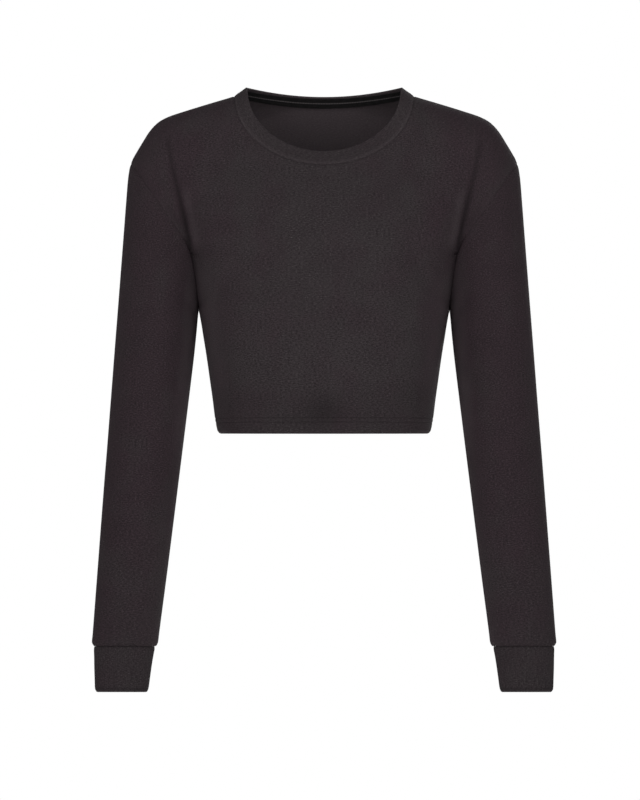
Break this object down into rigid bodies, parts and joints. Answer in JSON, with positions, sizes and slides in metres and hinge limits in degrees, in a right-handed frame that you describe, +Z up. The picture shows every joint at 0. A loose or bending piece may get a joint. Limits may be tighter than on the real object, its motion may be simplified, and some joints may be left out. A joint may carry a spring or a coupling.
{
  "type": "crop top",
  "caption": "Long-sleeved round-neck crop top in dark heather jersey, filled out as worn, with a ribbed neckband and ribbed cuffs.",
  "frame": {"origin": "midway between the neck ends of the two shoulder seams, where the garment rests on the wearer's shoulders", "axes": "+Z up, -Y out of the front of the garment, +X towards the wearer's left sleeve; the shoulder and side seams lie in the plane y = 0"},
  "size_m": [0.5292, 0.2163, 0.6885],
  "materials": {
    "jersey": "matt dark charcoal heather single jersey, finely flecked, with a faint nap",
    "rib": "matt dark charcoal heather rib, doubled",
    "tape": "matt black plain-woven cotton tape"
  },
  "bodies": {
    "root": {"front_panel": "jersey", "back_panel": "jersey", "sleeve_left": "jersey", "sleeve_right": "jersey", "cuff_left": "rib", "cuff_right": "rib", "neckband": "rib", "neck_tape": "tape"}
  },
  "joints": []
}
